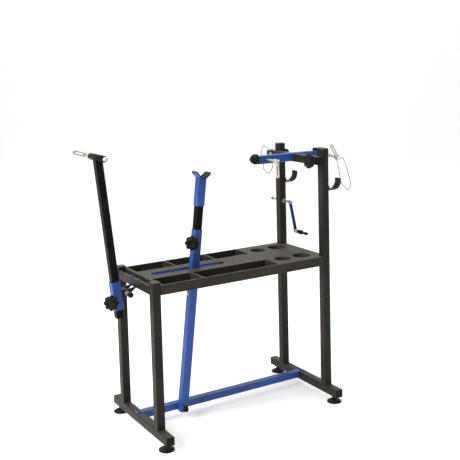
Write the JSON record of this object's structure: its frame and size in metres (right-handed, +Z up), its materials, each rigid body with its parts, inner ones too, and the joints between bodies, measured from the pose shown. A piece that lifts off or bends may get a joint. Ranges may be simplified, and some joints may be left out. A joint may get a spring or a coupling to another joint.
{
  "type": "bicycle repair stand",
  "caption": "Low workshop stand of square tube with a tool tray, a fork mount on a crossbar, a tilting cradle post and a tilting rear-axle post.",
  "frame": {"origin": "on the floor, midway between the four feet", "axes": "+X from the low rear frame to the tall front frame, +Y to the stand's left, +Z up"},
  "size_m": [1.1329, 0.474, 1.0739],
  "materials": {
    "powder_black": "satin powder coat, faint texture",
    "powder_blue": "satin powder coat",
    "tray_grey": "matt powder coat",
    "tube_black": "gloss black anodised",
    "steel": "zinc plated",
    "wire": "twisted wire",
    "polished": "polished",
    "plastic_black": "moulded, fine grain",
    "plastic_cap": "moulded",
    "rubber": "matt",
    "screw_black": "black oxide"
  },
  "bodies": {
    "frame": {"rear_frame": "powder_black", "front_frame": "powder_black", "foot_bar_plugs": "plastic_black", "post_caps": "plastic_cap", "bottom_bar": "powder_blue", "frame_screws": "screw_black", "foot_inserts": "steel", "tray": "tray_grey", "slot_rails": "powder_blue", "washers": "steel", "centre_pivot_bolt": "steel", "centre_pivot_nut": "steel", "centre_pivot_cap": "plastic_black", "rear_pivot_bolt": "steel", "crossbar": "powder_black", "crossbar_end_caps": "plastic_black", "crossbar_bolts": "steel", "fork_bar": "powder_blue", "fork_bar_cap": "plastic_black", "fork_block": "tube_black", "fork_axle": "polished", "fork_skewer": "polished", "bar_skewer": "polished", "lanyards": "wire", "hooks": "powder_black", "hook_sleeves": "rubber", "swing_rod": "steel", "swing_rod_collars": "steel"},
    "foot_rear_left": {"foot_rear_left": "plastic_black"},
    "foot_rear_right": {"foot_rear_right": "plastic_black"},
    "foot_front_left": {"foot_front_left": "plastic_black"},
    "foot_front_right": {"foot_front_right": "plastic_black"},
    "centre_post": {"centre_post": "powder_blue", "centre_stop_bolt": "steel"},
    "centre_slider": {"centre_inner_tube": "tube_black", "cradle": "powder_blue", "cradle_pad": "rubber"},
    "centre_knob": {"centre_clamp_stud": "steel", "centre_clamp_knob": "plastic_black"},
    "rear_sleeve": {"rear_sleeve": "powder_blue", "rear_pivot_lug": "powder_black"},
    "rear_slider": {"rear_inner_tube": "tube_black", "rear_axle_sleeve": "tube_black", "rear_axle": "polished", "rear_skewer": "polished"},
    "rear_knob": {"rear_clamp_stud": "steel", "rear_clamp_knob": "plastic_black"},
    "rear_grip": {"rear_pivot_grip": "plastic_black"},
    "rear_lever": {"rear_skewer_lever": "polished"},
    "rear_nut": {"rear_skewer_nut": "polished"},
    "crossbar_knob": {"crossbar_near_knob": "plastic_black"},
    "far_knob": {"crossbar_far_knob": "plastic_black"},
    "fork_lever": {"fork_skewer_lever": "polished"},
    "fork_nut": {"fork_skewer_nut": "polished"},
    "bar_lever": {"bar_skewer_lever": "polished"},
    "bar_nut": {"bar_skewer_nut": "polished"},
    "swing_arm": {"swing_arm": "powder_blue", "swing_pin": "screw_black", "swing_pin_grips": "plastic_black"},
    "swing_roller": {"swing_roller": "polished"}
  },
  "joints": [
    {"name": "foot_rear_left_turn", "type": "hinge", "parent": "frame", "child": "foot_rear_left", "pos_m": [-0.378, 0.203, 0], "axis": [0, 0, 1], "continuous": true},
    {"name": "foot_rear_right_turn", "type": "hinge", "parent": "frame", "child": "foot_rear_right", "pos_m": [-0.378, -0.203, 0], "axis": [0, 0, 1], "continuous": true},
    {"name": "foot_front_left_turn", "type": "hinge", "parent": "frame", "child": "foot_front_left", "pos_m": [0.378, 0.203, 0], "axis": [0, 0, 1], "continuous": true},
    {"name": "foot_front_right_turn", "type": "hinge", "parent": "frame", "child": "foot_front_right", "pos_m": [0.378, -0.203, 0], "axis": [0, 0, 1], "continuous": true},
    {"name": "centre_tilt", "type": "hinge", "parent": "frame", "child": "centre_post", "pos_m": [-0.204, 0, 0.046], "axis": [0, 1, 0], "range_deg": [-15, 9]},
    {"name": "centre_height", "type": "slide", "parent": "centre_post", "child": "centre_slider", "axis": [0.1219, 0, 0.9925], "range_m": [-0.088, 0.08]},
    {"name": "centre_knob_turn", "type": "hinge", "parent": "centre_post", "child": "centre_knob", "pos_m": [-0.12466, 0, 0.69215], "axis": [-0.7018, -0.7071, 0.0862], "continuous": true},
    {"name": "rear_tilt", "type": "hinge", "parent": "frame", "child": "rear_sleeve", "pos_m": [-0.43, 0, 0.544], "axis": [0, 1, 0], "range_deg": [-20, 8]},
    {"name": "rear_height", "type": "slide", "parent": "rear_sleeve", "child": "rear_slider", "axis": [-0.0993, 0, 0.9951], "range_m": [-0.15, 0.06]},
    {"name": "rear_knob_turn", "type": "hinge", "parent": "rear_sleeve", "child": "rear_knob", "pos_m": [-0.46224, 0, 0.5247], "axis": [-0.7036, -0.7071, -0.0702], "continuous": true},
    {"name": "rear_grip_turn", "type": "hinge", "parent": "frame", "child": "rear_grip", "pos_m": [-0.43, -0.053, 0.544], "axis": [0, -1, 0], "continuous": true},
    {"name": "rear_lever_swing", "type": "hinge", "parent": "rear_slider", "child": "rear_lever", "pos_m": [-0.51468, 0.089, 1.05009], "axis": [-0.2924, 0, -0.9563], "range_deg": [0, 180]},
    {"name": "rear_nut_turn", "type": "hinge", "parent": "rear_slider", "child": "rear_nut", "pos_m": [-0.51468, -0.078, 1.05009], "axis": [0, -1, 0], "continuous": true},
    {"name": "crossbar_knob_turn", "type": "hinge", "parent": "frame", "child": "crossbar_knob", "pos_m": [0.31, -0.1515, 0.982], "axis": [-1, 0, 0], "continuous": true},
    {"name": "crossbar_far_knob_turn", "type": "hinge", "parent": "frame", "child": "far_knob", "pos_m": [0.404, 0.1515, 0.982], "axis": [1, 0, 0], "continuous": true},
    {"name": "fork_lever_swing", "type": "hinge", "parent": "frame", "child": "fork_lever", "pos_m": [0.484, -0.108, 0.983], "axis": [0.848, 0, 0.5299], "range_deg": [0, 180]},
    {"name": "fork_nut_turn", "type": "hinge", "parent": "frame", "child": "fork_nut", "pos_m": [0.484, 0.063, 0.983], "axis": [0, 1, 0], "continuous": true},
    {"name": "bar_lever_swing", "type": "hinge", "parent": "frame", "child": "bar_lever", "pos_m": [0.2, -0.09, 0.985], "axis": [-1, 0, 0], "range_deg": [0, 180]},
    {"name": "bar_nut_turn", "type": "hinge", "parent": "frame", "child": "bar_nut", "pos_m": [0.2, 0.022, 0.985], "axis": [0, 1, 0], "continuous": true},
    {"name": "swing_arm_turn", "type": "hinge", "parent": "frame", "child": "swing_arm", "pos_m": [0.378, 0.083, 0.78], "axis": [0, 1, 0], "range_deg": [-170, 170]},
    {"name": "swing_roller_spin", "type": "hinge", "parent": "swing_arm", "child": "swing_roller", "pos_m": [0.40392, 0.0715, 0.65261], "axis": [0, 1, 0], "continuous": true}
  ]
}
